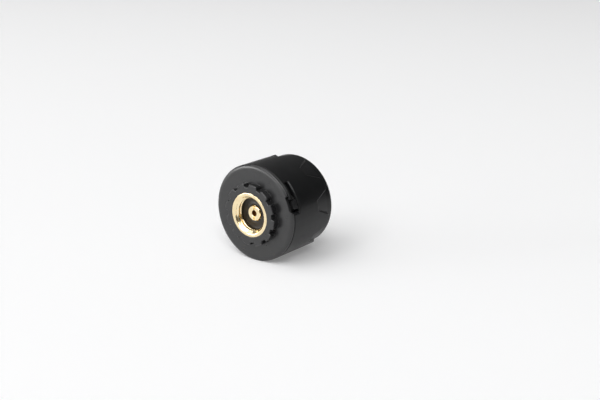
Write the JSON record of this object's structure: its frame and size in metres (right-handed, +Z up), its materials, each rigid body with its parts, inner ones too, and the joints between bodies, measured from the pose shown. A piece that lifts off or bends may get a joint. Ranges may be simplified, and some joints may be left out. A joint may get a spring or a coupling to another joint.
{
  "type": "tire pressure monitor",
  "caption": "Screw-on valve cap that senses tyre pressure: brass thread in a toothed boss, and a twist-off grip cover over its coin cell.",
  "frame": {"origin": "on the valve thread's axis, in the plane of the flange's front face", "axes": "-Y out of the threaded mouth, along the valve axis; +Y through the cover's rear face; +Z up as the part lies on its side"},
  "size_m": [0.021, 0.0162, 0.021],
  "materials": {
    "housing_plastic": "fine moulded texture",
    "cover_plastic": "fine moulded texture",
    "polished_brass": "polished",
    "seal_rubber": "matt",
    "gasket_silicone": "matt",
    "filter_ptfe": "matt",
    "board_laminate": "solder-mask gloss",
    "chip_epoxy": "moulded epoxy",
    "crystal_lid": "satin",
    "capacitor_ceramic": "ceramic",
    "inductor_ferrite": "ferrite",
    "copper_wire": "tinned copper",
    "carrier_plastic": "natural nylon",
    "screw_steel": "zinc plated",
    "contact_nickel": "nickel plated",
    "cell_steel": "bright nickel",
    "cell_polymer": "polypropylene",
    "pad_foam": "closed-cell foam"
  },
  "bodies": {
    "base": {"base_housing": "housing_plastic", "thread_insert": "polished_brass", "valve_seal": "seal_rubber", "core_pin": "polished_brass", "port_filter": "filter_ptfe", "port_gasket": "gasket_silicone", "housing_o_ring": "seal_rubber", "pressure_sensor": "chip_epoxy", "circuit_board": "board_laminate", "radio_chip": "chip_epoxy", "crystal": "crystal_lid", "capacitors": "capacitor_ceramic", "inductors": "inductor_ferrite", "antenna_loop": "copper_wire", "battery_carrier": "carrier_plastic", "carrier_screws": "screw_steel", "negative_contact": "contact_nickel", "positive_contact": "contact_nickel", "cell_can": "cell_steel", "cell_gasket": "cell_polymer", "cell_cap": "cell_steel"},
    "cover": {"rear_cover": "cover_plastic", "cover_pad": "pad_foam"}
  },
  "joints": [
    {"name": "cover_twist", "type": "hinge", "parent": "base", "child": "cover", "pos_m": [0, 0.006, 0], "axis": [0, 1, 0], "range_deg": [-3, 10.5]}
  ]
}
